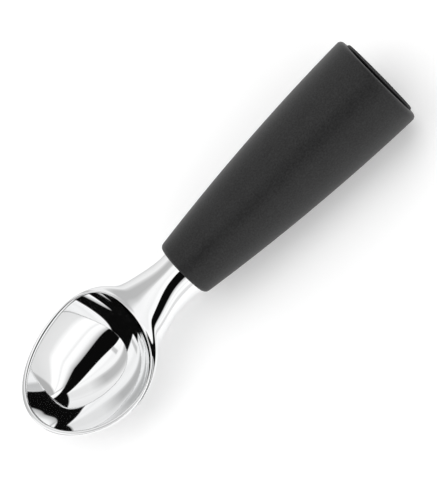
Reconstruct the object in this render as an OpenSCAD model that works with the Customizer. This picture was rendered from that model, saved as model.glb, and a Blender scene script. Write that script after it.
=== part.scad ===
// Solid-headed ice cream scoop: a plated cast head, held in a soft-skinned round handle by a screw
// from behind. The handle's axis is parallel to X, the bowl's tip points along +X and the scoop lies
// on its bowl and on the rear rim of its grip, so Z = 0 is the table. Sizes are in millimetres.

/* [Bowl] */
// Length of the bowl's mouth, inside the lip
bowl_l = 58.4; // [48:0.2:66]
// Width of the bowl's mouth, inside the lip
bowl_w = 48.8; // [42:0.2:58]
// Depth of the bowl below the middle of its mouth
bowl_d = 21; // [15:0.2:24]
// Share of a half ellipse that the wall's curve follows: more stands the wall up at the lip
bowl_round = 0.8; // [0.4:0.01:0.95]
// Slope of the floor toward the heel, as a difference in depth
heel_deep = 2.5; // [0:0.1:4]
// Squareness of the mouth's outline
mouth_power = 2.18; // [2:0.01:2.4]
// Narrowing of the mouth toward its tip
egg = 0.12; // [0:0.01:0.18]
// Rise of the lip at tip and heel, and its fall at the sides
arch = 2.9; // [1:0.1:4]
// Power by which that rise fades toward the floor
arch_power = 4; // [2:0.5:6]
// Slope of the mouth to the handle's axis, tip downward
droop = 8; // [4:0.5:12]
// Width of the rounded lip at tip and sides
lip_w = 2.2; // [1.6:0.1:3]
// Width of the lip at the heel
lip_heel = 0.8; // [0.6:0.1:1.4]
// Share of the lip's width that rounds over into the bowl
lip_in = 0.77; // [0.4:0.01:0.8]
// Thickness of the bowl's floor
floor_t = 1.4; // [1.2:0.1:3.5]

/* [Neck] */
// Length of the neck from the grip to the heel of the lip
neck_l = 25.4; // [21:0.1:33]
// Width of the neck where it leaves the grip
neck_w = 23.4; // [21:0.1:24]
// Height of the neck where it leaves the grip
neck_h = 21.6; // [20:0.1:23]
// Width of the neck at its waist
waist_w = 22.1; // [20:0.1:23]
// Distance of the waist from the grip
waist_x = 7; // [4:0.5:10]
// Widening of each flank where the neck meets the bowl
flare = 7.5; // [5:0.1:9]
// Sharpness of that widening
flare_power = 1.7; // [1.4:0.1:2.2]

/* [Grip] */
// Length of the grip
grip_l = 109; // [96:1:125]
// Diameter of the grip at its mouth
grip_front_dia = 25.8; // [25:0.1:30]
// Diameter of the grip at its rear rim
grip_rear_dia = 42.8; // [40:0.1:48]
// Bulge of the grip's side beyond a straight taper
grip_bulge = 1.6; // [0:0.1:2.4]
// Rounding of the grip's front edge
front_round = 1.6; // [0.8:0.1:1.6]
// Rounding of the grip's rear edge
rear_round = 2; // [1:0.1:2.5]
// Thickness of the soft skin on the side
skin_t = 2.4; // [1.6:0.1:2.4]
// Thickness of the soft skin across the mouth
mouth_t = 3; // [2:0.5:4]

/* [Core] */
// Wall of the hollow core
core_wall = 2.6; // [2:0.1:3]
// Diameter of the boss round the tang
boss_dia = 19; // [17:0.5:20]
// Distance from the mouth to the front of the hollow
hollow_x = 26; // [20:1:32]
// Thickness of the wall that the screw pulls on
seat_t = 4; // [3:0.5:6]
// Number of ribs between boss and wall
rib_n = 4; // [3:1:6]
// Thickness of a rib
rib_t = 2; // [1.5:0.1:3]

/* [Tang] */
// Thickness of the core round the collar, at the grip's mouth
mouth_wall = 1.5; // [1.2:0.1:2.4]
// Length of the collar
collar_l = 14; // [12:0.5:16]
// Diameter of the tang
tang_dia = 12; // [10.5:0.1:13]
// Length of collar and tang together
tang_l = 50; // [44:1:56]
// Clearance all round a piece that slides into another
fit = 0.05; // [0.02:0.01:0.1]

/* [Seal] */
// Thickness of the sealing ring
seal_t = 1.8; // [1.4:0.1:2]
// Distance of the ring from the mouth
seal_x = 8.5; // [7:0.5:9.5]
// Play of the ring along its groove
seal_play = 0.7; // [0.4:0.1:1]

/* [Screw] */
// Nominal diameter of the screw
screw_dia = 6; // [5:0.5:6]
// Length of the screw under its head
screw_l = 20; // [18:1:24]
// Diameter of the screw's head
head_dia = 10; // [9:0.1:10.5]
// Height of the screw's head
head_h = 5; // [4:0.1:6]
// Hexagon in the head, across its flats
hex_af = 5; // [4:0.5:5]
// Depth of the hexagon
hex_depth = 3; // [2:0.1:3.5]
// Clearance round the screw in the washers and in the core's seat
screw_gap = 0.2; // [0.1:0.05:0.3]
// Outside diameter of the flat washer
washer_dia = 12; // [11.5:0.1:14]
// Thickness of each washer
washer_t = 1.6; // [1:0.1:2]
// Outside diameter of the spring washer
spring_dia = 10.5; // [9.5:0.1:11]
// Gap cut in the spring washer
split_w = 1.2; // [0.8:0.1:1.6]
// Slant of that gap
split_turn = 25; // [15:1:35]

/* [End cap] */
// Width of the soft rim round the cap
cap_rim = 3.7; // [3.4:0.1:4]
// Height by which the cap stands out of the grip
cap_proud = 1; // [0.5:0.1:1.5]
// Depth by which the disc is let into the grip
cap_seat = 2; // [1.5:0.1:3]
// Length of the spigot in the core
spigot_l = 9; // [7:0.5:12]
// Wall of the spigot
spigot_t = 1.6; // [1.2:0.1:2]
// Number of slots that part the spigot into legs
slot_n = 4; // [3:1:6]
// Width of a slot
slot_w = 3; // [2:0.5:4]
// Radius of the bead that holds the cap in
bead_r = 0.5; // [0.4:0.05:0.6]
// Distance of the bead from the spigot's end
bead_in = 2; // [1.5:0.5:3]

/* [Hidden] */
$fn = 96;
// fineness of the head's skin
round_n = 60;
span_n = 3;
cup_n = 14;
lip_n = 4;
flank_n = 24;
arc_n = 6;
eps = 0.01;
// length by which a cut reaches past the face it starts from
over = 1;

half_l = bowl_l / 2;
half_w = bowl_w / 2;
out_l = half_l + lip_w;
out_w = half_w + lip_w;
out_d = bowl_d + floor_t;
lip_r = lip_w / 2;

// middle of the mouth: the heel stands neck_l before the grip and the bowl hangs level with the grip's rim
drops = [for (r = [-1 : 0.02 : 1]) out_l * r * sin(droop) + hollow(r, 0, abs(r), out_d) * cos(droop)];
rim_z = max(drops) - grip_rear_dia / 2;
rim_x = neck_l + (half_l + lip_heel) * cos(droop) - arch * sin(droop);

// the whole scoop is moved to stand on Z = 0 with its length centred on X = 0
tip_x = max([for (r = [0.7 : 0.005 : 1]) dish(r)[0]]);
rest = [(grip_l + cap_proud - tip_x) / 2, 0, grip_rear_dia / 2];

collar_r = grip_front_dia / 2 - skin_t - mouth_wall;
bore_r = collar_r + fit;
tang_bore_r = tang_dia / 2 + fit;
screw_r = screw_dia / 2;
washer_bore_r = screw_r + screw_gap;
seat_x = -tang_l - seat_t;
head_x = seat_x - 2 * washer_t;
// room left behind the tang, so that the screw draws the neck against the grip
tang_gap = 0.5;
tap_spare = 2;
tap_l = screw_l - 2 * washer_t - seat_t + tap_spare;
groove_w = seal_t + seal_play;
cap_r = grip_rear_dia / 2 - cap_rim;
rear_x = -grip_l + cap_seat;
spigot_r = min(grip_r(rear_x), grip_r(rear_x + spigot_l)) - skin_t - core_wall - fit;
bead_x = rear_x + spigot_l - bead_in;
bead_mid_r = spigot_r - bead_r / 4;

// a point from its place along and across the mouth and its depth below the mouth's middle
function at(s, y, d) = [
    rim_x + s * cos(droop) - d * sin(droop),
    y,
    rim_z - s * sin(droop) - d * cos(droop)
];

// depth of a bowl at shares of its half length and half width, k of the way from floor to lip, and the
// point there
function flat(k) = sqrt(1 - pow(bowl_round * k, 2));
function hollow(u, v, k, depth) =
    lip_r + (depth - lip_r) * (flat(k) - flat(1)) / (1 - flat(1))
    - arch * (u * u - v * v) * pow(k, arch_power) - heel_deep * u * (1 - k * k);
function spread(u, v) = min(1, pow(pow(abs(u), mouth_power) + pow(abs(v), mouth_power), 1 / mouth_power));
function in_bowl(u, v, l, w, depth) = at(l * u, w * v * (1 - egg * u), hollow(u, v, spread(u, v), depth));

// a point of the lip at an angle round the mouth
function along(a, power = mouth_power) = sign(cos(a)) * pow(abs(cos(a)), 2 / power);
function across(a, power = mouth_power) = along(a - 90, power);
function on_lip(a, grow, fall) =
    let (u = along(a), v = across(a))
    at((half_l + grow) * u, (half_w + grow) * v * (1 - egg * u), fall - arch * (u * u - v * v));

// middle line of the bowl's outside, from 1 at the tip to -1 at the heel
function dish(r) = let (p = in_bowl(r, 0, out_l, out_w, out_d)) [p[0], p[2]];

function ease(u) = u * u * (3 - 2 * u);
heel_from = 0.5;
function heel(a) = ease(max(0, -cos(a) - heel_from) / (1 - heel_from));
function lip_width(a) = lip_w - (lip_w - lip_heel) * ease(min(1, max(0, (0.2 - cos(a)) / 0.9)));

// neck's top at a share of the way from heel to grip
heel_p = on_lip(180, lip_heel, 0);
function top(u) = [heel_p[0] * (1 - u), heel_p[2] + (neck_h / 2 - heel_p[2]) * (u + ease(u)) / 2];

// neck's underside at a share of the way from grip to bowl, which it meets along the bowl's own slope
join_r = -0.45;
join = dish(join_r);
join_step = dish(join_r + eps) - join;
join_slope = join[0] * join_step[1] / join_step[0];
function under(u) = [
    join[0] * u,
    -neck_h / 2 + (join[1] + neck_h / 2) * ease(u) + join_slope * u * u * (u - 1)
];

// half width of the neck at a distance from the grip
function neck_half(x) = x < waist_x
    ? waist_w / 2 + (neck_w - waist_w) / 2 * pow(1 - x / waist_x, 2)
    : waist_w / 2 + flare * pow((x - waist_x) / neck_l, flare_power);

// oval through a point of the neck's top and one of the underside, as wide as w at the level of point m
function oval(h, t, m, w) = [
    for (i = [0 : round_n - 1])
        let (a = 360 * i / round_n, c = cos(a), k = c > 0 ? (t - m) * c : (m - h) * c)
        [m[0] + k[0], w * sin(a), m[1] + k[1]]
];

// outer edge of the lip
edge = [for (i = [0 : round_n - 1]) let (a = 360 * i / round_n) on_lip(a, lip_width(a), lip_r * (1 - heel(a)))];

// loop on the outside of the bowl, drawn in toward the heel. There it leaves the bowl for the neck's top,
// which starts as the lip's own edge and turns into the neck's oval
function loop(up, r, wide, from_a, to_a) = [
    let (h = top(up), t = dish(r), side_p = in_bowl((r - 1) / 2, wide, out_l, out_w, out_d))
    let (neck = oval(h, t, [side_p[0], side_p[2]], side_p[1]))
    let (back = [h[0] - heel_p[0], 0, h[1] - heel_p[2]], turn = up / neck_fan[0][0])
    for (i = [0 : round_n - 1])
        let (a = 360 * i / round_n, u = (r - 1) / 2 + (r + 1) / 2 * along(a))
        let (p = in_bowl(u, wide * across(a), out_l, out_w, out_d))
        let (q = (edge[i] + back) * (1 - turn) + neck[i] * turn)
        p + (q - p) * ease(min(1, max(0, (180 - abs(180 - a) - from_a) / (to_a - from_a))))
];

// loops that fan from the mouth round the bowl to the neck's end. On the bowl: share of the way up the
// neck's top, place on the bowl's middle line, share of its width, angles between which a loop leaves it
bowl_fan = [
    [0.04, 0.9, 0.985, 120, 170],
    [0.09, 0.7, 0.93, 115, 165],
    [0.15, 0.4, 0.83, 105, 160],
    [0.22, 0.05, 0.71, 100, 150],
    [0.3, -0.22, 0.58, 90, 140]
];
// on the neck: the same share, place on the underside, height of the widest place
neck_fan = [[0.41, 1, 0.42], [0.54, 0.7, 0.42], [0.68, 0.45, 0.44], [0.84, 0.2, 0.47], [1, 0, 0.5]];
ovals = concat(
    [edge],
    [for (f = bowl_fan) loop(f[0], f[1], f[2], f[3], f[4])],
    [
        for (f = neck_fan)
            let (h = top(f[0]), t = under(f[1]), m = h + (t - h) * f[2])
            oval(h, t, m, neck_half(m[0]))
    ]
);

// smooth curve through four rows of points
function curve(a, b, c, d, u) =
    b + u * (c - a) / 2 + u * u * (a - 2.5 * b + 2 * c - d / 2) + u * u * u * (1.5 * (b - c) + (d - a) / 2);
last = len(ovals) - 1;
function strung() = concat(
    [
        for (k = [0 : last - 1], j = [0 : span_n - 1])
            [
                for (i = [0 : round_n - 1])
                    curve(
                        ovals[max(k - 1, 0)][i], ovals[k][i], ovals[k + 1][i], ovals[min(k + 2, last)][i],
                        j / span_n
                    )
            ]
    ],
    [ovals[last]]
);

// fairing of the rows where the neck runs into the bowl: each point moves toward the mean of its four
// neighbours and then nearly as far back. The lip's edge, the bowl's front and the neck's end stay put
fair_n = 240;
fair_in = 0.5;
fair_out = -0.505;
neck_k = len(bowl_fan) * span_n;
end_k = last * span_n;
function ramp(u) = ease(min(1, max(0, u)));
function loose(k, a) =
    let (ends = ramp(k / span_n) * ramp((end_k - k) / span_n))
    ends * max(ramp(0.3 - 1.6 * cos(a)), ramp((k - neck_k) / span_n + 1));
function moved(p, share) = [
    for (k = [0 : end_k])
        [
            for (i = [0 : round_n - 1])
                let (pair = p[max(k - 1, 0)][i] + p[min(k + 1, end_k)][i])
                let (mean = (pair + p[k][(i + 1) % round_n] + p[k][(i + round_n - 1) % round_n]) / 4)
                p[k][i] + (mean - p[k][i]) * share * loose(k, 360 * i / round_n)
        ]
];
function faired(p, n) = n == 0 ? p : faired(moved(moved(p, fair_in), fair_out), n - 1);

// rounded lip, whose outer side fades at the heel
lip = [
    for (k = [1 : lip_n])
        [
            for (i = [0 : round_n - 1])
                let (a = 360 * i / round_n, q = 180 * k / lip_n, w = lip_width(a), mid = w * lip_in)
                on_lip(
                    a, mid + (q < 90 ? w - mid : mid) * cos(q), lip_r * (1 - sin(q)) * (q < 90 ? 1 - heel(a) : 1)
                )
        ]
];

// inside of the bowl, from lip to floor, where its rings become plain ovals
cup = [
    for (k = [1 : cup_n - 1])
        let (r = cos(90 * k / cup_n), power = 2 + (mouth_power - 2) * pow(r, 4))
        [
            for (i = [0 : round_n - 1])
                let (a = 360 * i / round_n, u = r * along(a, power), v = r * across(a, power))
                at(half_l * u, half_w * v * (1 - egg * u), hollow(u, v, r, bowl_d))
        ]
];

// radius of the grip's side at a distance from its mouth
function grip_r(x) =
    let (u = -x / grip_l)
    grip_front_dia / 2 + (grip_rear_dia - grip_front_dia) / 2 * u + 4 * grip_bulge * u * (1 - u);

// points along the grip's side, a depth below it
function side(x0, x1, depth) = [
    for (i = [0 : flank_n])
        let (x = x0 + (x1 - x0) * i / flank_n)
        [grip_r(x) - depth, x]
];

module placed() {
    translate(rest)
        rotate([0, 90, 0])
            children();
}

module ring(r_out, r_in, x, h) {
    translate([0, 0, x])
        difference() {
            cylinder(r = r_out, h = h);
            translate([0, 0, -over])
                cylinder(r = r_in, h = h + 2 * over);
        }
}

module torus(r_mid, r_wire, x) {
    translate([0, 0, x])
        rotate_extrude()
            translate([r_mid, 0])
                circle(r = r_wire);
}

// bowl and neck, with the collar and the tapped tang behind them, in one casting
module scoop_head() {
    n = round_n;
    outer = faired(strung(), fair_n);
    rows = concat([for (k = [end_k : -1 : 0]) outer[k]], lip, cup);
    count = len(rows);
    color([0.86, 0.87, 0.88]) {
        translate(rest)
            polyhedron(
                points = concat([for (r = rows) each r], [at(0, 0, bowl_d)]),
                faces = concat(
                    [[for (i = [0 : n - 1]) i]],
                    [
                        for (k = [0 : count - 2], i = [0 : n - 1])
                            [k * n + i, (k + 1) * n + i, k * n + (i + 1) % n]
                    ],
                    [
                        for (k = [0 : count - 2], i = [0 : n - 1])
                            [k * n + (i + 1) % n, (k + 1) * n + i, (k + 1) * n + (i + 1) % n]
                    ],
                    [for (i = [0 : n - 1]) [(count - 1) * n + i, count * n, (count - 1) * n + (i + 1) % n]]
                )
            );
        placed()
            difference() {
                union() {
                    translate([0, 0, -collar_l])
                        cylinder(r = collar_r, h = collar_l);
                    translate([0, 0, -tang_l + tang_gap])
                        cylinder(r = tang_dia / 2, h = tang_l - collar_l);
                }
                ring(bore_r, collar_r - seal_t, -seal_x - groove_w / 2, groove_w);
                translate([0, 0, -tang_l])
                    cylinder(r = screw_r, h = tap_l);
            }
    }
}

// rubber ring in the collar's groove, which keeps water out of the handle
module neck_seal() {
    color([0.12, 0.12, 0.13])
        placed()
            torus(bore_r - seal_t / 2 - fit / 2, (seal_t - fit) / 2, -seal_x);
}

// stiff hollow core with a socket for the tang and an open rear
module handle_core() {
    color([0.2, 0.2, 0.21])
        placed() {
            difference() {
                rotate_extrude()
                    polygon(concat(
                        [[bore_r, -mouth_t]],
                        side(-mouth_t, rear_x, skin_t),
                        side(rear_x, -hollow_x, skin_t + core_wall),
                        [
                            [boss_dia / 2, -hollow_x],
                            [boss_dia / 2, seat_x],
                            [washer_bore_r, seat_x],
                            [washer_bore_r, -tang_l],
                            [tang_bore_r, -tang_l],
                            [tang_bore_r, -collar_l - fit],
                            [bore_r, -collar_l - fit]
                        ]
                    ));
                torus(bead_mid_r, bead_r + fit, bead_x);
            }
            intersection() {
                for (i = [0 : rib_n - 1])
                    rotate([0, 0, 360 * (i + 0.5) / rib_n])
                        translate([boss_dia / 2 - over, -rib_t / 2, seat_x])
                            cube([grip_rear_dia, rib_t, -seat_x - hollow_x + over]);
                rotate_extrude()
                    polygon(concat(
                        [[0, -mouth_t]],
                        side(-mouth_t, rear_x, skin_t + core_wall / 2),
                        [[0, rear_x]]
                    ));
            }
        }
}

// soft skin over the core, closed round the collar at the mouth and round the cap at the rear
module grip_sleeve() {
    front_r = grip_r(-front_round);
    back_r = grip_r(-grip_l + rear_round);
    color([0.22, 0.22, 0.23])
        placed()
            rotate_extrude()
                polygon(concat(
                    [[bore_r, 0]],
                    [
                        for (i = [0 : arc_n - 1])
                            let (q = 90 * i / arc_n)
                            [front_r - front_round * (1 - sin(q)), -front_round * (1 - cos(q))]
                    ],
                    side(-front_round, -grip_l + rear_round, 0),
                    [
                        for (i = [1 : arc_n])
                            let (q = 90 * i / arc_n)
                            [back_r - rear_round * (1 - cos(q)), -grip_l + rear_round * (1 - sin(q))]
                    ],
                    [[cap_r + fit, -grip_l], [cap_r + fit, rear_x]],
                    side(rear_x, -mouth_t, skin_t),
                    [[bore_r, -mouth_t]]
                ));
}

// socket-headed screw that pulls the tang into the core
module tang_screw() {
    color([0.62, 0.63, 0.65])
        placed()
            difference() {
                union() {
                    translate([0, 0, head_x])
                        cylinder(r = screw_r - fit / 2, h = screw_l);
                    translate([0, 0, head_x - head_h])
                        cylinder(r = head_dia / 2, h = head_h);
                }
                translate([0, 0, head_x - head_h - over])
                    cylinder(r = hex_af / 2 / cos(30), h = hex_depth + over, $fn = 6);
            }
}

// plain washer on the core's seat
module flat_washer() {
    color([0.7, 0.71, 0.72])
        placed()
            ring(washer_dia / 2, washer_bore_r, seat_x - washer_t, washer_t);
}

// split spring washer under the screw's head
module lock_washer() {
    color([0.55, 0.56, 0.58])
        placed()
            difference() {
                ring(spring_dia / 2, washer_bore_r, head_x, washer_t);
                translate([spring_dia / 2, 0, head_x + washer_t / 2])
                    rotate([split_turn, 0, 0])
                        cube([spring_dia, split_w, 4 * washer_t], center = true);
            }
}

// gloss cap that closes the rear, with slotted spigot and holding bead
module end_cap() {
    color([0.05, 0.05, 0.055])
        placed() {
            translate([0, 0, -grip_l - cap_proud])
                cylinder(r = cap_r, h = cap_proud + cap_seat);
            difference() {
                union() {
                    ring(spigot_r, spigot_r - spigot_t, rear_x - eps, spigot_l + eps);
                    torus(bead_mid_r, bead_r, bead_x);
                }
                for (i = [0 : slot_n - 1])
                    rotate([0, 0, 360 * i / slot_n])
                        translate([0, -slot_w / 2, rear_x + over])
                            cube([grip_rear_dia, slot_w, spigot_l]);
            }
        }
}

scoop_head();
neck_seal();
handle_core();
grip_sleeve();
tang_screw();
flat_washer();
lock_washer();
end_cap();
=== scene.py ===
import math
import bmesh
import bpy
import numpy as np
from mathutils import Matrix, Vector


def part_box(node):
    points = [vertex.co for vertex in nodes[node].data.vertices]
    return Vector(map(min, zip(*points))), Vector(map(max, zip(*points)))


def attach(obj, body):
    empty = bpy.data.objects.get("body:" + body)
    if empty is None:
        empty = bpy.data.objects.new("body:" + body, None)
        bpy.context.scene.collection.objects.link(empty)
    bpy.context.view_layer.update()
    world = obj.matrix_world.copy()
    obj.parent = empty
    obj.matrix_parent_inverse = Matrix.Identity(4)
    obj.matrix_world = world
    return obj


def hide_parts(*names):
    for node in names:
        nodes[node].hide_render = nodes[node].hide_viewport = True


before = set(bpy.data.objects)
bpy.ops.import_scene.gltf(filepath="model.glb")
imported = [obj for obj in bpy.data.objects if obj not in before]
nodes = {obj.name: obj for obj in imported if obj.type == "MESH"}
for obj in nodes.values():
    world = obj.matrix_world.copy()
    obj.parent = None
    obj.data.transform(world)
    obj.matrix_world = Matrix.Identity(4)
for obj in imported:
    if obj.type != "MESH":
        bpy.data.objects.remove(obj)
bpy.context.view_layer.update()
scene = bpy.context.scene
mm = 0.001
fullTurn = 2 * math.pi
quarterTurn = math.pi / 2
sharpAngle = math.radians(40)  # an edge bent more than this stays crisp
mergeWithin = 0.0005  # millimetres within which a turned sheet's seam and poles close
gripLow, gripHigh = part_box("grip_sleeve")
mouth = np.array([gripHigh.x, 0.0, (gripLow.z + gripHigh.z) / 2])  # where the handle's axis leaves the grip
print("frame loaded:", ", ".join(sorted(nodes)))


class Wire:
    # a socket in a node tree; arithmetic on it adds Math nodes
    def __init__(self, tree, socket=None):
        self.tree = tree
        self.socket = socket

    def add(self, kind, settings=None, sockets=None):
        node = self.tree.nodes.new(kind)
        for name, value in (settings or {}).items():
            if name == "stops":
                self.setStops(node.color_ramp.elements, value)
            else:
                setattr(node, name, value)
        for name, value in (sockets or {}).items():
            if isinstance(value, Wire):
                self.tree.links.new(value.socket, node.inputs[name])
            else:
                node.inputs[name].default_value = value
        return Wire(self.tree, node.outputs[0] if node.outputs else None)

    def setStops(self, stops, values):
        while len(stops) < len(values):
            stops.new(1.0)
        for stop, (place, shade) in zip(stops, values):
            stop.position = place
            stop.color = tuple(shade) + (1.0,) if hasattr(shade, "__len__") else (shade, shade, shade, 1.0)

    def out(self, name):
        return Wire(self.tree, self.socket.node.outputs[name])

    def maths(self, operation, *values):
        return self.add("ShaderNodeMath", {"operation": operation}, dict(enumerate(values)))

    def __add__(self, other):
        return self.maths("ADD", self, other)

    def __sub__(self, other):
        return self.maths("SUBTRACT", self, other)

    def __rsub__(self, other):
        return self.maths("SUBTRACT", other, self)

    def __mul__(self, other):
        return self.maths("MULTIPLY", self, other)

    def __truediv__(self, other):
        return self.maths("DIVIDE", self, other)

    def __rtruediv__(self, other):
        return self.maths("DIVIDE", other, self)

    def __pow__(self, other):
        return self.maths("POWER", self, other)

    def __rpow__(self, other):
        return self.maths("POWER", other, self)

    __radd__ = __add__
    __rmul__ = __mul__

    def sine(self):
        return self.maths("SINE", self)

    def cosine(self):
        return self.maths("COSINE", self)

    def root(self):
        return self.maths("SQRT", self)

    def atLeast(self, other):
        return self.maths("MAXIMUM", self, other)

    def clip(self):
        return self.add("ShaderNodeClamp", None, {"Value": self, "Min": 0.0, "Max": 1.0})

    def step(self, soft):
        # from 0 to 1 as the value goes from nothing to soft
        return (self / soft).clip()

    def blend(self, other, share):
        return self + (other - self) * share

    def spread(self, ends):
        # from the first to the last of two numbers as the value goes from 0 to 1
        return ends[0] + (ends[1] - ends[0]) * self

    def ease(self):
        return self * self * (3.0 - 2.0 * self)

    def ramp(self, *stops):
        return self.add("ShaderNodeValToRGB", {"stops": stops}, {"Fac": self})

    def tint(self, shades, ends=(0.3, 0.7)):
        # from one shade to the other over the middle of a noise
        return self.ramp(*zip(ends, shades))

    def noise(self, scale, detail=2.0, roughness=0.5, stretch=None):
        place = self
        if stretch is not None:
            place = self.add("ShaderNodeMapping", None, {"Vector": self, "Scale": stretch})
        sockets = {"Vector": place, "Scale": scale, "Detail": detail, "Roughness": roughness}
        return self.add("ShaderNodeTexNoise", None, sockets).out("Fac")


def finish(name, fixed, paint):
    # a material: constants on the shader's own sockets, paint() wires what changes over the surface
    mat = bpy.data.materials.new(name)
    mat.use_nodes = True
    shader = mat.node_tree.nodes["Principled BSDF"]
    for socket, value in fixed.items():
        shader.inputs[socket].default_value = value
    place = Wire(mat.node_tree).add("ShaderNodeTexCoord").out("Object")
    for socket, wire in paint(place).items():
        mat.node_tree.links.new(wire.socket, shader.inputs[socket])
    return mat


def bumped(height, strength, distance):
    sockets = {"Strength": strength, "Distance": distance, "Height": height}
    return height.add("ShaderNodeBump", None, sockets)


# plated head: mirror bright, with faint cloudiness from wiping and hairline polish marks along the scoop
plateLook = {
    "tint": ((0.90, 0.905, 0.91), (0.945, 0.948, 0.95)),
    "rough": (0.022, 0.05),
    "cloudScale": 38.0, "cloudShare": 0.7,
    "hairScale": 6.0, "hairStretch": (14.0, 420.0, 420.0), "hairStrength": 0.15, "hairDepth": 0.0000004,
}


def paintPlate(place):
    look = plateLook
    cloud = place.noise(look["cloudScale"], detail=3.0)
    hair = place.noise(look["hairScale"], roughness=0.6, stretch=look["hairStretch"])
    wiped = cloud * look["cloudShare"] + hair * (1 - look["cloudShare"])
    return {
        "Base Color": cloud.tint(look["tint"]),
        "Roughness": wiped.spread(look["rough"]),
        "Normal": bumped(hair, look["hairStrength"], look["hairDepth"]),
    }


# soft skin of the grip: dull near-black with a fine sprayed grain and a few rubbed patches
skinLook = {
    "tint": ((0.0035, 0.0035, 0.0036), (0.0225, 0.0225, 0.023)),
    "rough": (0.44, 0.56),
    "grainScale": 1500.0, "grainShare": 0.7, "grainStrength": 0.7, "grainDepth": 0.00005,
    "rubScale": 45.0,
}


def paintSkin(place):
    look = skinLook
    grain = place.noise(look["grainScale"], roughness=0.55)
    rubbed = place.noise(look["rubScale"], detail=4.0, roughness=0.6)
    shade = rubbed * (1 - look["grainShare"]) + grain * look["grainShare"]
    return {
        "Base Color": shade.tint(look["tint"]),
        "Roughness": rubbed.spread(look["rough"]),
        "Normal": bumped(grain, look["grainStrength"], look["grainDepth"]),
    }


# gloss cap: polished black with faint swirls, duller seen edge-on
capLook = {
    "tint": ((0.002, 0.002, 0.0021), (0.005, 0.005, 0.0052)), "tintEnds": (0.35, 0.65),
    "rough": (0.10, 0.22), "edgeRough": 0.6, "edgePower": 4.0,
    "swirlScale": 120.0, "scuffScale": 900.0, "scuffStrength": 0.1, "scuffDepth": 0.000004,
}


def paintCap(place):
    look = capLook
    swirl = place.noise(look["swirlScale"], detail=3.0, roughness=0.6)
    scuff = place.noise(look["scuffScale"])
    edgeOn = place.add("ShaderNodeLayerWeight", None, {"Blend": 0.5}).out("Facing")
    return {
        "Base Color": swirl.tint(look["tint"], look["tintEnds"]),
        "Roughness": swirl.spread(look["rough"]) + look["edgeRough"] * edgeOn ** look["edgePower"],
        "Normal": bumped(scuff, look["scuffStrength"], look["scuffDepth"]),
    }


# moulded core inside the handle: flow marks along it and a fine spark-eroded grain
coreLook = {
    "tint": ((0.045, 0.045, 0.048), (0.07, 0.07, 0.074)), "rough": (0.42, 0.62),
    "flowScale": 60.0, "flowStretch": (0.3, 1.0, 1.0),
    "sparkScale": 1800.0, "sparkStrength": 0.3, "sparkDepth": 0.00002,
}


def paintCore(place):
    look = coreLook
    flow = place.noise(look["flowScale"], detail=4.0, roughness=0.6, stretch=look["flowStretch"])
    spark = place.noise(look["sparkScale"])
    return {
        "Base Color": flow.tint(look["tint"]),
        "Roughness": flow.spread(look["rough"]),
        "Normal": bumped(spark, look["sparkStrength"], look["sparkDepth"]),
    }


# rubber ring: black with a pale bloom
sealLook = {
    "tint": ((0.012, 0.012, 0.012), (0.024, 0.024, 0.025)), "rough": (0.4, 0.65),
    "bloomScale": 300.0, "bloomStrength": 0.2, "bloomDepth": 0.00001,
}


def paintSeal(place):
    look = sealLook
    bloom = place.noise(look["bloomScale"], detail=3.0, roughness=0.6)
    return {
        "Base Color": bloom.tint(look["tint"]),
        "Roughness": bloom.spread(look["rough"]),
        "Normal": bumped(bloom, look["bloomStrength"], look["bloomDepth"]),
    }


# screw and washers: steel with turning marks and light stains
steelLook = {
    "tint": ((0.50, 0.505, 0.515), (0.60, 0.605, 0.615)), "rough": (0.24, 0.40),
    "turnScale": 9.0, "turnStretch": (220.0, 3.0, 3.0), "turnStrength": 0.2, "turnDepth": 0.000006,
    "stainScale": 260.0,
}


def paintSteel(place):
    look = steelLook
    turned = place.noise(look["turnScale"], stretch=look["turnStretch"])
    stain = place.noise(look["stainScale"], detail=3.0, roughness=0.6)
    return {
        "Base Color": stain.tint(look["tint"]),
        "Roughness": turned.spread(look["rough"]),
        "Normal": bumped(turned, look["turnStrength"], look["turnDepth"]),
    }


platedChrome = finish("platedChrome", {"Metallic": 1.0}, paintPlate)
softSkin = finish("softSkin", {"Specular IOR Level": 0.4}, paintSkin)
glossCap = finish("glossCap", {"Specular IOR Level": 0.04}, paintCap)
mouldedCore = finish("mouldedCore", {"Specular IOR Level": 0.45}, paintCore)
sealRubber = finish("sealRubber", {"Specular IOR Level": 0.4}, paintSeal)
turnedSteel = finish("turnedSteel", {"Metallic": 1.0}, paintSteel)
print("finishes made:", len(bpy.data.materials))


def addPiece(name, mesh, node):
    piece = bpy.data.objects.new(name, mesh)
    scene.collection.objects.link(piece)
    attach(piece, "root")
    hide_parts(node)
    return piece


def settled(bm, mesh):
    # faces outward, moved to its place in metres, smooth but for real edges
    bmesh.ops.recalc_face_normals(bm, faces=bm.faces)
    bmesh.ops.transform(bm, matrix=Matrix.Translation(mouth) @ Matrix.Scale(mm, 4), verts=bm.verts)
    bm.to_mesh(mesh)
    bm.free()
    mesh.shade_smooth()
    mesh.set_sharp_from_angle(angle=sharpAngle)
    return mesh


def smooth(u):
    return u * u * (3 - 2 * u)


def ramped(u):
    return smooth(np.clip(u, 0, 1))


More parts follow.
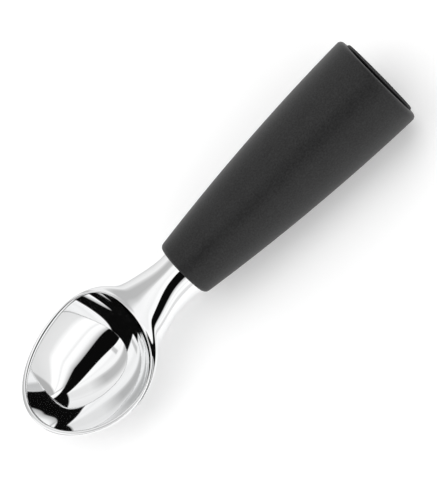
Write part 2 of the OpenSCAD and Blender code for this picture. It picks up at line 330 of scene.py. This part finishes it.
# bowl and neck, in millimetres from the grip's mouth, x toward the tip and z up
head = {
    "mouthLength": 58.4, "mouthWidth": 48.8, "mouthPower": 2.18, "egg": 0.12, "droop": math.radians(8),
    "depth": 21.0, "wallRound": 0.8, "heelDeep": 2.5, "floor": 1.4, "ovalPower": 4,
    "arch": 2.9, "archPower": 4,
    # the lip narrows toward the heel, where its outer round fades into the neck
    "lip": 2.2, "lipHeel": 0.8, "lipInner": 0.77, "narrowFrom": 0.2, "narrowOver": 0.9, "heelFrom": 0.5,
    "neckLength": 25.4, "neckWidth": 23.4, "neckHeight": 21.6,
    "waist": 22.1, "waistAt": 7.0, "flare": 7.5, "flarePower": 1.7, "joinAt": -0.45, "joinNudge": 0.01,
    # fineness, and how far the rows are faired
    "around": 60, "span": 3, "finer": 4, "lipRows": 24, "cupRows": 72, "bottomSteps": 101,
    "fairPasses": 1500, "settlePasses": 150, "fairIn": 0.5, "fairOut": -0.505,
    "fairFrom": 0.3, "fairSlope": 1.6,
}
lipRound = head["lip"] / 2
innerHalf = (head["mouthLength"] / 2, head["mouthWidth"] / 2)
outerHalf = (innerHalf[0] + head["lip"], innerHalf[1] + head["lip"])
outerDepth = head["depth"] + head["floor"]
dropSin, dropCos = math.sin(head["droop"]), math.cos(head["droop"])
gripRest = (gripHigh.z - gripLow.z) / 2 / mm


def flat(k):
    return np.sqrt(1 - (head["wallRound"] * k) ** 2)


def hollow(u, v, k, depth):
    wall = lipRound + (depth - lipRound) * (flat(k) - flat(1)) / (1 - flat(1))
    return wall - head["arch"] * (u * u - v * v) * k ** head["archPower"] - head["heelDeep"] * u * (1 - k * k)


# middle of the mouth: the bowl hangs level with the grip's rim and its heel stands before the grip
bottom = np.linspace(-1, 1, head["bottomSteps"])
drops = outerHalf[0] * bottom * dropSin + hollow(bottom, 0, np.abs(bottom), outerDepth) * dropCos
rimZ = drops.max() - gripRest
rimX = head["neckLength"] + (innerHalf[0] + head["lipHeel"]) * dropCos - head["arch"] * dropSin


def under(s, y, d):
    # a point from its place along and across the mouth and its depth below it
    x, z = rimX + s * dropCos - d * dropSin, rimZ - s * dropSin - d * dropCos
    return np.stack(np.broadcast_arrays(x, y, z), -1)


def inBowl(u, v, half, depth):
    power = head["mouthPower"]
    k = np.minimum(1, (np.abs(u) ** power + np.abs(v) ** power) ** (1 / power))
    return under(half[0] * u, half[1] * v * (1 - head["egg"] * u), hollow(u, v, k, depth))


def along(a, power=head["mouthPower"]):
    return np.sign(np.cos(a)) * np.abs(np.cos(a)) ** (2 / power)


def across(a, power=head["mouthPower"]):
    return along(a - quarterTurn, power)


def cupRing(r, a):
    # a ring inside the bowl, the mouth's outline at the lip and a plain oval at the floor
    power = 2 + (head["mouthPower"] - 2) * r ** head["ovalPower"]
    u, v = r * along(a, power), r * across(a, power)
    side = innerHalf[1] * v * (1 - head["egg"] * u)
    return under(innerHalf[0] * u, side, hollow(u, v, r, head["depth"]))


def onLip(a, grow, fall):
    u, v = along(a), across(a)
    side = (innerHalf[1] + grow) * v * (1 - head["egg"] * u)
    return under((innerHalf[0] + grow) * u, side, fall - head["arch"] * (u * u - v * v))


def heel(a):
    return smooth(np.maximum(0, -np.cos(a) - head["heelFrom"]) / (1 - head["heelFrom"]))


def lipWidth(a):
    # full at tip and sides, narrowing to the heel
    narrow = ramped((head["narrowFrom"] - np.cos(a)) / head["narrowOver"])
    return head["lip"] - (head["lip"] - head["lipHeel"]) * narrow


def lipEdge(a):
    return onLip(a, lipWidth(a), lipRound * (1 - heel(a)))


def lipRing(q, a):
    # a ring over the lip, a small round outside and a wider one inside; the outer one fades at the heel
    inner = lipWidth(a) * head["lipInner"]
    reach = lipWidth(a) - inner if q < quarterTurn else inner
    fade = 1 - heel(a) if q < quarterTurn else 1
    return onLip(a, inner + reach * math.cos(q), lipRound * (1 - math.sin(q)) * fade)


def dishLine(r):
    return inBowl(np.float64(r), np.float64(0), outerHalf, outerDepth)[[0, 2]]


heelPoint = onLip(np.float64(math.pi), head["lipHeel"], 0.0)
joinPoint = dishLine(head["joinAt"])
joinStep = dishLine(head["joinAt"] + head["joinNudge"]) - joinPoint
joinSlope = joinPoint[0] * joinStep[1] / joinStep[0]


def neckTop(u):
    rise = head["neckHeight"] / 2 - heelPoint[2]
    return np.array([heelPoint[0] * (1 - u), heelPoint[2] + rise * (u + smooth(u)) / 2])


def neckUnder(u):
    low = -head["neckHeight"] / 2
    return np.array([joinPoint[0] * u, low + (joinPoint[1] - low) * smooth(u) + joinSlope * u * u * (u - 1)])


def neckHalf(x):
    if x < head["waistAt"]:
        return head["waist"] / 2 + (head["neckWidth"] - head["waist"]) / 2 * (1 - x / head["waistAt"]) ** 2
    share = (x - head["waistAt"]) / head["neckLength"]
    return head["waist"] / 2 + head["flare"] * share ** head["flarePower"]


def oval(high, low, middle, half, a):
    c = np.cos(a)[:, None]
    line = middle + np.where(c > 0, (low - middle) * c, (middle - high) * c)
    return np.stack([line[:, 0], half * np.sin(a), line[:, 1]], 1)


# loops on the bowl: share up the neck's top, place on the bowl's middle line, share of width, and the
# angles from the tip between which they leave the bowl
bowlFan = [
    (0.04, 0.9, 0.985, 120, 170),
    (0.09, 0.7, 0.93, 115, 165),
    (0.15, 0.4, 0.83, 105, 160),
    (0.22, 0.05, 0.71, 100, 150),
    (0.3, -0.22, 0.58, 90, 140),
]
# loops on the neck: share up its top, place on its underside, height of its widest place
neckFan = [(0.41, 1, 0.42), (0.54, 0.7, 0.42), (0.68, 0.45, 0.44), (0.84, 0.2, 0.47), (1, 0, 0.5)]


def bowlLoop(up, r, wide, leave, gone, a):
    high, low = neckTop(up), dishLine(r)
    flank = inBowl(np.float64((r - 1) / 2), np.float64(wide), outerHalf, outerDepth)
    ring = oval(high, low, flank[[0, 2]], flank[1], a)
    back = np.array([high[0] - heelPoint[0], 0, high[1] - heelPoint[2]])
    turn = up / neckFan[0][0]
    dish = inBowl((r - 1) / 2 + (r + 1) / 2 * along(a), wide * across(a), outerHalf, outerDepth)
    target = (lipEdge(a) + back) * (1 - turn) + ring * turn
    degrees = 180 - np.abs(180 - np.degrees(a))
    return dish + (target - dish) * ramped((degrees - leave) / (gone - leave))[:, None]


def neckLoop(up, place, level, a):
    high, low = neckTop(up), neckUnder(place)
    middle = high + (low - high) * level
    return oval(high, low, middle, neckHalf(middle[0]), a)


def strung(rows, times):
    # a smooth curve through the rows, times points for each step
    padded = np.concatenate([rows[:1], rows, rows[-1:]])
    a, b, c, d = padded[:-3], padded[1:-2], padded[2:-1], padded[3:]
    steps = []
    for u in np.arange(times) / times:
        bend = a - 2.5 * b + 2 * c - d / 2
        steps.append(b + u * (c - a) / 2 + u * u * bend + u ** 3 * (1.5 * (b - c) + (d - a) / 2))
    return np.concatenate([np.stack(steps, 1).reshape((-1,) + rows.shape[1:]), rows[-1:]])


def strungRound(rows, times):
    # the same round each closed row
    turned = np.swapaxes(rows, 0, 1)
    ring = np.concatenate([turned[-2:], turned, turned[:3]])
    return np.swapaxes(strung(ring, times)[2 * times:-2 * times - 1], 0, 1)[:, :rows.shape[1] * times]


def shifted(rows, share, weight):
    low, high = np.concatenate([rows[:1], rows[:-1]]), np.concatenate([rows[1:], rows[-1:]])
    mean = (low + high + np.roll(rows, 1, 1) + np.roll(rows, -1, 1)) / 4
    return rows + (mean - rows) * share * weight


def faired(rows, passes, weight):
    # each pass draws the rows in and lets them out again, so that they smooth without shrinking
    for _ in range(passes):
        rows = shifted(shifted(rows, head["fairIn"], weight), head["fairOut"], weight)
    return rows


def outerSkin():
    count, span = head["around"], head["span"]
    a = np.arange(count) * fullTurn / count
    loops = [lipEdge(a)] + [bowlLoop(*f, a) for f in bowlFan] + [neckLoop(*f, a) for f in neckFan]
    rows = strung(np.array(loops), span)
    k = np.arange(len(rows))[:, None]
    ends = ramped(k / span) * ramped((len(rows) - 1 - k) / span)
    heelward = ramped(head["fairFrom"] - head["fairSlope"] * np.cos(a))[None]
    onNeck = ramped((k - len(bowlFan) * span) / span + 1)
    loose = ends * np.maximum(heelward, onNeck)
    rows = faired(rows, head["fairPasses"], loose[..., None])
    rows = strung(strungRound(rows, head["finer"]), head["finer"])
    fine = np.arange(rows.shape[1]) * fullTurn / rows.shape[1]
    rows[0] = lipEdge(fine)
    held = np.ones((len(rows), 1, 1))
    held[[0, -1]] = 0
    return faired(rows, head["settlePasses"], held), fine


def skinMesh(rows, pole):
    # quads between closed rows, a flat end on the first and a pole in the last
    count = rows.shape[1]
    bm = bmesh.new()
    rings = [[bm.verts.new(p) for p in row] for row in rows]
    tip = bm.verts.new(pole)
    bm.faces.new(rings[0])
    for low, high in zip(rings, rings[1:]):
        for i in range(count):
            j = (i + 1) % count
            bm.faces.new((low[i], low[j], high[j], high[i]))
    for i in range(count):
        bm.faces.new((rings[-1][i], rings[-1][(i + 1) % count], tip))
    return bm


# collar, seal groove, tang and tapped hole behind the neck, as places along the axis and radii
tang = {
    "collar": 9.0, "collarLength": 14.0, "radius": 6.0, "length": 49.5, "sealAt": 8.5, "grooveWidth": 2.5,
    "grooveDepth": 1.8, "hole": 3.0, "holeDepth": 14.3, "chamfer": 0.6, "around": 64,
}


def tangProfile():
    collar, radius, hole, chamfer = tang["collar"], tang["radius"], tang["hole"], tang["chamfer"]
    grooveFront = -tang["sealAt"] + tang["grooveWidth"] / 2
    grooveBack = -tang["sealAt"] - tang["grooveWidth"] / 2
    grooveFloor = collar - tang["grooveDepth"]
    collarEnd, end = -tang["collarLength"], -tang["length"]
    holeEnd = end + tang["holeDepth"]
    return [
        (0, 0), (0, collar), (grooveFront, collar), (grooveFront, grooveFloor), (grooveBack, grooveFloor),
        (grooveBack, collar), (collarEnd + chamfer, collar), (collarEnd, collar - chamfer), (collarEnd, radius),
        (end + chamfer, radius), (end, radius - chamfer), (end, hole), (holeEnd, hole), (holeEnd, 0),
    ]


def addTurned(bm, profile, count):
    # turns a profile of (x, radius) about the x axis, closing it where the radius is nothing
    rings = []
    for x, r in profile:
        if r == 0:
            rings.append([bm.verts.new((x, 0, 0))])
        else:
            rings.append([
                bm.verts.new((x, r * math.cos(q), r * math.sin(q)))
                for q in (fullTurn * i / count for i in range(count))
            ])
    for low, high in zip(rings, rings[1:]):
        for i in range(count):
            j = (i + 1) % count
            corners = [low[i % len(low)], low[j % len(low)], high[j % len(high)], high[i % len(high)]]
            bm.faces.new(list(dict.fromkeys(corners)))


def makeHead():
    outer, a = outerSkin()
    lip = [lipRing(q, a) for q in np.linspace(0, math.pi, head["lipRows"] + 1)[1:]]
    cup = [cupRing(r, a) for r in np.cos(np.linspace(0, quarterTurn, head["cupRows"] + 1)[1:-1])]
    rows = np.concatenate([outer[::-1], np.array(lip), np.array(cup)])
    bm = skinMesh(rows, under(np.float64(0), np.float64(0), head["depth"]))
    addTurned(bm, tangProfile(), tang["around"])
    mesh = settled(bm, bpy.data.meshes.new("scoopHead"))
    mesh.materials.append(platedChrome)
    return addPiece("scoopHead", mesh, "scoop_head")


makeHead()
print("head made")


def newTree(name, sizes):
    # a node tree with a named input for each size; whole numbers are counts
    tree = bpy.data.node_groups.new(name, "GeometryNodeTree")
    tree.interface.new_socket("Geometry", in_out="OUTPUT", socket_type="NodeSocketGeometry")
    for label, value in sizes.items():
        kind = "NodeSocketInt" if isinstance(value, int) else "NodeSocketFloat"
        tree.interface.new_socket(label, in_out="INPUT", socket_type=kind)
    start = Wire(tree)
    given = start.add("NodeGroupInput")
    return start, {label: given.out(label) for label in sizes}


def position(start):
    return start.add("ShaderNodeSeparateXYZ", None, {0: start.add("GeometryNodeInputPosition")})


def unitSheet(start, around, rows):
    # a square of side 1 about the origin, its x to be turned about the axis
    return start.add("GeometryNodeMeshGrid", None, {
        "Size X": 1.0, "Size Y": 1.0, "Vertices X": around + 1.0, "Vertices Y": rows,
    }).out("Mesh")


def stretches(share, count):
    # numbers that go from 0 to 1 one after another
    run = share * float(count)
    return [(run - float(i)).clip() for i in range(count)]


def polar(x, radius, turn):
    return turn.add("ShaderNodeCombineXYZ", None, {
        "X": x, "Y": radius * turn.cosine(), "Z": radius * turn.sine(),
    })


def moved(mesh, spot):
    return mesh.add("GeometryNodeSetPosition", None, {"Geometry": mesh, "Position": spot})


def closed(mesh):
    return mesh.add("GeometryNodeMergeByDistance", None, {"Geometry": mesh, "Distance": mergeWithin})


def ended(mesh, material):
    real = mesh.add("GeometryNodeRealizeInstances", None, {"Geometry": mesh})
    painted = mesh.add("GeometryNodeSetMaterial", None, {"Geometry": real, "Material": material})
    mesh.add("NodeGroupOutput", None, {"Geometry": painted})
    return mesh.tree


def grown(tree, values, name):
    # runs a tree on an empty mesh and keeps its result as a plain mesh
    holder = bpy.data.objects.new(name + "Maker", bpy.data.meshes.new(name + "Maker"))
    scene.collection.objects.link(holder)
    maker = holder.modifiers.new("maker", "NODES")
    maker.node_group = tree
    for socket in tree.interface.items_tree:
        if socket.in_out == "INPUT":
            maker[socket.identifier] = values[socket.name]
    mesh = bpy.data.meshes.new_from_object(holder.evaluated_get(bpy.context.evaluated_depsgraph_get()))
    holder.modifiers.remove(maker)
    bpy.data.objects.remove(holder)
    mesh.name = name
    return mesh


# soft skin: a turned shell whose side bulges a little between mouth and rear
grip = {
    "Length": 109.0, "Front Radius": 12.9, "Rear Radius": 21.4, "Bulge": 1.6, "Front Round": 1.6,
    "Rear Round": 2.0, "Skin": 2.4, "Mouth Skin": 3.0, "Bore": 9.05, "Cap Radius": 17.75, "Cap Seat": 2.0,
    "Around": 160, "Along": 320,
}


def turnedGripTree():
    start, size = newTree("turnedGrip", grip)
    place = position(start)
    length, capSeat, mouthSkin = size["Length"], size["Cap Seat"], size["Mouth Skin"]
    # stretches of the wall's outline, from the bore's front edge round and back to it
    face, side, rear, seat, step, inside, back, bore = stretches(place.out("Y") + 0.5, 8)

    def sideRadius(share):
        taper = size["Front Radius"].blend(size["Rear Radius"], share)
        return taper + size["Bulge"] * 4.0 * share * (1.0 - share)

    def rounding(radius, distance):
        short = (radius - distance).atLeast(0.0)
        return radius - (radius * radius - short * short).root()

    share = side.ease()
    distance = share * length
    outside = sideRadius(share) - rounding(size["Front Round"], distance)
    outside = outside - rounding(size["Rear Round"], length - distance)
    inner = distance - capSeat * seat - (length - capSeat - mouthSkin) * inside
    radius = size["Bore"].blend(outside, face).blend(size["Cap Radius"], rear)
    radius = radius.blend(sideRadius(inner / length) - size["Skin"], step).blend(size["Bore"], back)
    spot = polar((inner - mouthSkin * bore) * -1.0, radius, (place.out("X") + 0.5) * fullTurn)
    return ended(closed(moved(unitSheet(start, size["Around"], size["Along"]), spot)), softSkin)


def makeGrip():
    mesh = grown(turnedGripTree(), grip, "gripSleeve")
    bm = bmesh.new()
    bm.from_mesh(mesh)
    return addPiece("gripSleeve", settled(bm, mesh), "grip_sleeve")


makeGrip()
print("grip made")

# gloss cap: a disc with softened edges and a slotted spigot whose legs carry a bead
cap = {
    "Radius": 17.7, "Thickness": 3.0, "Edge": 0.7, "Dish": 0.25, "Leg Radius": 16.07, "Leg Wall": 1.6,
    "Leg Length": 9.0, "Slot": 3.0, "Bead": 0.5, "Bead In": 2.0, "Bead Rise": 0.75, "First Leg": math.pi / 4,
    "Around": 160, "Across": 96, "Legs": 4, "Leg Along": 48, "Leg Around": 28,
}
capBack = -110.0  # place of its outer face along the axis


def capTree():
    start, size = newTree("glossCap", cap)
    place = position(start)

    # disc: out along the back, round its edge, along the side and in along the front
    back, curl, side, curlIn, front = stretches(place.out("Y") + 0.5, 5)
    edge, bend, bendIn = size["Edge"], curl * quarterTurn, curlIn * quarterTurn
    flatTo = size["Radius"] - edge
    radius = flatTo * back + edge * bend.sine() - edge * (1.0 - bendIn.cosine()) - flatTo * front
    depth = edge * (1.0 - bend.cosine()) + (size["Thickness"] - edge * 2.0) * side
    depth = depth + edge * bendIn.sine() + size["Dish"] * (1.0 - back * back)
    spot = polar(depth, radius.atLeast(0.0), (place.out("X") + 0.5) * fullTurn)
    disc = closed(moved(unitSheet(start, size["Around"], size["Across"]), spot))

    # one leg: a block bent round the axis, swelling outward at the bead
    block = start.add("GeometryNodeMeshCube", None, {
        "Size": (1.0, 1.0, 1.0), "Vertices X": size["Leg Along"], "Vertices Y": size["Leg Around"],
        "Vertices Z": 2,
    }).out("Mesh")
    reach = (place.out("X") + 0.5) * size["Leg Length"]
    share = 1.0 - size["Slot"] * size["Legs"] / (size["Leg Radius"] * fullTurn)
    away = reach - (size["Leg Length"] - size["Bead In"])
    swell = (size["Bead"] * size["Bead"] - away * away).atLeast(0.0).root()
    outward = place.out("Z") + 0.5
    legRadius = size["Leg Radius"] - size["Leg Wall"] * (1.0 - outward) + swell * size["Bead Rise"] * outward
    legTurn = place.out("Y") * fullTurn * share / size["Legs"]
    leg = moved(block, polar(reach + size["Thickness"], legRadius, legTurn))
    posts = start.add("GeometryNodeMeshLine", None, {
        "Count": size["Legs"], "Start Location": (0.0, 0.0, 0.0), "Offset": (0.0, 0.0, 0.0),
    })
    turn = start.add("GeometryNodeInputIndex") * fullTurn / size["Legs"] + size["First Leg"]
    legs = start.add("GeometryNodeInstanceOnPoints", None, {
        "Points": posts, "Instance": leg, "Rotation": start.add("ShaderNodeCombineXYZ", None, {"X": turn}),
    })
    whole = start.add("GeometryNodeJoinGeometry")
    for piece in (disc, legs):
        start.tree.links.new(piece.socket, whole.socket.node.inputs["Geometry"])
    return ended(whole, glossCap)


def makeCap():
    mesh = grown(capTree(), cap, "endCap")
    bm = bmesh.new()
    bm.from_mesh(mesh)
    bmesh.ops.translate(bm, vec=(capBack, 0, 0), verts=bm.verts)
    return addPiece("endCap", settled(bm, mesh), "end_cap")


makeCap()
print("cap made")

# what stays as the frame has it gets its finish only
innerFinishes = {
    "neck_seal": sealRubber, "handle_core": mouldedCore, "tang_screw": turnedSteel,
    "flat_washer": turnedSteel, "lock_washer": turnedSteel,
}
for name, material in innerFinishes.items():
    nodes[name].data.materials.clear()
    nodes[name].data.materials.append(material)
print("inner pieces finished")

# stage: a pale floor, and a pale round wall that only the camera sees, for views near the floor
stage = {
    "tint": ((0.86, 0.86, 0.86), (0.89, 0.89, 0.89)), "rough": 0.9, "specular": 0.1,
    "floorSize": 6.0, "floorCells": 8, "floorMottle": 7.0, "floorDetail": 3.0, "floorGlow": 0.2,
    "wallRadius": 2.9, "wallHeight": 4.0, "wallAround": 96, "wallRows": 6,
    "wallMottle": 3.0, "wallDetail": 2.0, "wallGlow": 0.0,
}


def addStage(name, bm, finishName, glow, mottle, detail):
    mesh = bpy.data.meshes.new(name)
    bm.to_mesh(mesh)
    bm.free()
    mesh.shade_smooth()
    item = bpy.data.objects.new(name, mesh)
    scene.collection.objects.link(item)

    def paint(place):
        return {"Base Color": place.noise(mottle, detail).tint(stage["tint"])}

    fixed = {
        "Roughness": stage["rough"], "Specular IOR Level": stage["specular"],
        "Emission Color": (1, 1, 1, 1), "Emission Strength": glow,
    }
    mesh.materials.append(finish(finishName, fixed, paint))
    return item


def makeFloor():
    bm = bmesh.new()
    cells = stage["floorCells"]
    bmesh.ops.create_grid(bm, x_segments=cells, y_segments=cells, size=stage["floorSize"] / 2)
    addStage("floor", bm, "paleFloor", stage["floorGlow"], stage["floorMottle"], stage["floorDetail"])


def makeBackdrop():
    count, rows, radius = stage["wallAround"], stage["wallRows"], stage["wallRadius"]
    bm = bmesh.new()
    rings = []
    for k in range(rows + 1):
        z = stage["wallHeight"] * k / rows
        rings.append([
            bm.verts.new((radius * math.cos(q), radius * math.sin(q), z))
            for q in (fullTurn * i / count for i in range(count))
        ])
    for low, high in zip(rings, rings[1:]):
        for i in range(count):
            j = (i + 1) % count
            bm.faces.new((low[j], low[i], high[i], high[j]))
    wall = addStage("backdrop", bm, "paleWall", stage["wallGlow"], stage["wallMottle"], stage["wallDetail"])
    for ray in ("diffuse", "glossy", "transmission", "volume_scatter", "shadow"):
        setattr(wall, "visible_" + ray, False)


# sky: pale and dark strips that run along the scoop. Its places are tilt, in degrees from overhead to
# either side, and ahead, in degrees toward the tip
sky = {
    "strength": 1.1,
    # brightness at each tilt
    "shades": [
        (-90, 0.60), (-70, 0.80), (-55, 0.85), (-46, 0.60), (-40, 0.48), (-26, 0.48), (-21, 0.62),
        (-17, 0.90), (-11, 0.94), (-5, 0.88), (-1, 0.97), (7, 0.97), (38, 0.45), (40, 0.55), (47, 0.93),
        (54, 1.0), (57, 0.84), (60, 0.98), (70, 1.0), (75, 0.76), (90, 0.70),
    ],
    # a dark gap between two curved edges; the strips beyond it follow its high edge
    "gapShade": 0.003, "gapSoft": 1.6, "lowEdge": (8.0, 0.14, -0.0047), "highEdge": (38.0, 0.21, -0.1),
    "highBendFrom": 20.0, "highBendPower": 1.5, "followFrom": 8.0,
    # the grey band on the low side slants, and pales toward the handle
    "slant": 0.25, "slantFade": 20.0,
    "band": (-54.0, -14.0), "bandSoft": 6.0, "paleOver": 22.0, "paleShare": 0.65, "paleShade": 0.92,
    # the end behind the handle is dark too
    "endFrom": 50.0, "endSoft": 2.0, "endTilt": 13.0, "endFlare": 1.25, "endTiltSoft": 5.0, "endShade": 0.003,
    # two grey patches, one beside the dark end and one ahead of the tip
    "patchShade": 0.42, "rearPatch": (-65.5, 0.25, 6.0), "rearSoft": 3.0,
    "frontAhead": (38.0, 50.0), "frontTilt": (-17.0, 7.0), "frontShare": 0.7, "frontSoft": 3.5,
}


def inside(value, lower, upper, soft):
    return (value - lower).step(soft) * (upper - value).step(soft)


def makeSky():
    world = bpy.data.worlds.new("studioSky")
    world.use_nodes = True
    scene.world = world
    tree = world.node_tree
    start = Wire(tree)
    way = start.add("ShaderNodeSeparateXYZ", None, {0: start.add("ShaderNodeTexCoord").out("Generated")})
    tilt = way.maths("ARCTAN2", way.out("Y"), way.out("Z")) * math.degrees(1)
    ahead = way.maths("ARCSINE", way.out("X")) * math.degrees(1)
    toHandle = 0.0 - ahead

    lowAt, lowSlope, lowBend = sky["lowEdge"]
    highAt, highSlope, highBend = sky["highEdge"]
    low = lowAt + ahead * lowSlope + ahead * ahead * lowBend
    bend = (toHandle - sky["highBendFrom"]).atLeast(0.0) ** sky["highBendPower"]
    shift = ahead * highSlope + bend * highBend
    gap = inside(tilt, low, highAt + shift, sky["gapSoft"])

    near = (tilt + sky["slantFade"]).step(sky["slantFade"]).ease()
    far = (tilt - sky["followFrom"]).step(sky["followFrom"]).ease()
    bent = tilt + ahead * sky["slant"] * (1.0 - near) - shift * far
    pale = inside(bent, *sky["band"], sky["bandSoft"]) * toHandle.step(sky["paleOver"]) * sky["paleShare"]

    rearFrom, rearSlope, rearTilt = sky["rearPatch"]
    rear = (tilt * rearSlope + rearFrom - ahead).step(sky["rearSoft"])
    rear = rear * (tilt - rearTilt).step(sky["rearSoft"])
    front = inside(ahead, *sky["frontAhead"], sky["frontSoft"])
    front = front * inside(tilt, *sky["frontTilt"], sky["frontSoft"])
    patch = rear.atLeast(front * sky["frontShare"])

    past = toHandle - sky["endFrom"]
    lowered = sky["endTilt"] - past * sky["endFlare"] - tilt
    behind = past.step(sky["endSoft"]) * lowered.step(sky["endTiltSoft"])

    stops = [(angle / 180 + 0.5, shade) for angle, shade in sky["shades"]]
    shade = (bent / 180.0 + 0.5).ramp(*stops).blend(sky["paleShade"], pale).blend(sky["patchShade"], patch)
    shade = shade.blend(sky["gapShade"], gap).blend(sky["endShade"], behind)
    background = tree.nodes["Background"].inputs
    tree.links.new(shade.socket, background["Color"])
    background["Strength"].default_value = sky["strength"]


# fill: one broad lamp overhead that the plate doesn't mirror
fill = {"power": 58.0, "size": 5.0, "height": 2.4}


def makeFill():
    light = bpy.data.lights.new("fill", "AREA")
    light.size = fill["size"]
    light.energy = fill["power"]
    lamp = bpy.data.objects.new("fill", light)
    lamp.location = (0, 0, fill["height"])
    lamp.visible_glossy = False
    scene.collection.objects.link(lamp)


makeFloor()
makeBackdrop()
makeSky()
makeFill()
print("studio made")

# view: from above, rolled about the handle so that the bowl shows its right wall, scoop pointing down left
view = {
    "pitch": math.radians(6.2), "roll": math.radians(22), "turn": 0.0093, "distance": 1145.0,
    "aimAlong": -18.47, "aimAcross": 1.36, "lens": 215.25, "farthest": 20.0,
}


def makeCamera():
    cp, sp = math.cos(view["pitch"]), math.sin(view["pitch"])
    cr, sr = math.cos(view["roll"]), math.sin(view["roll"])
    toTip, toSide = Vector((cp, sr * sp, cr * sp)), Vector((0, cr, -sr))
    toEye = Vector((-sp, sr * cp, cr * cp))
    aim = toTip * view["aimAlong"] + toSide * view["aimAcross"]
    spot = Vector(mouth) + (aim + toEye * view["distance"]) * mm
    tipWay, sideWay = toTip + toSide * view["turn"], toSide - toTip * view["turn"]
    right, up = (sideWay - tipWay).normalized(), (-sideWay - tipWay).normalized()
    data = bpy.data.cameras.new("camera")
    data.lens = view["lens"]
    data.clip_end = view["farthest"]
    camera = bpy.data.objects.new("camera", data)
    camera.matrix_world = Matrix([*zip(right, up, toEye, spot), (0, 0, 0, 1)])
    scene.collection.objects.link(camera)
    scene.camera = camera


makeCamera()
scene.view_settings.view_transform = "Standard"
print("camera set")
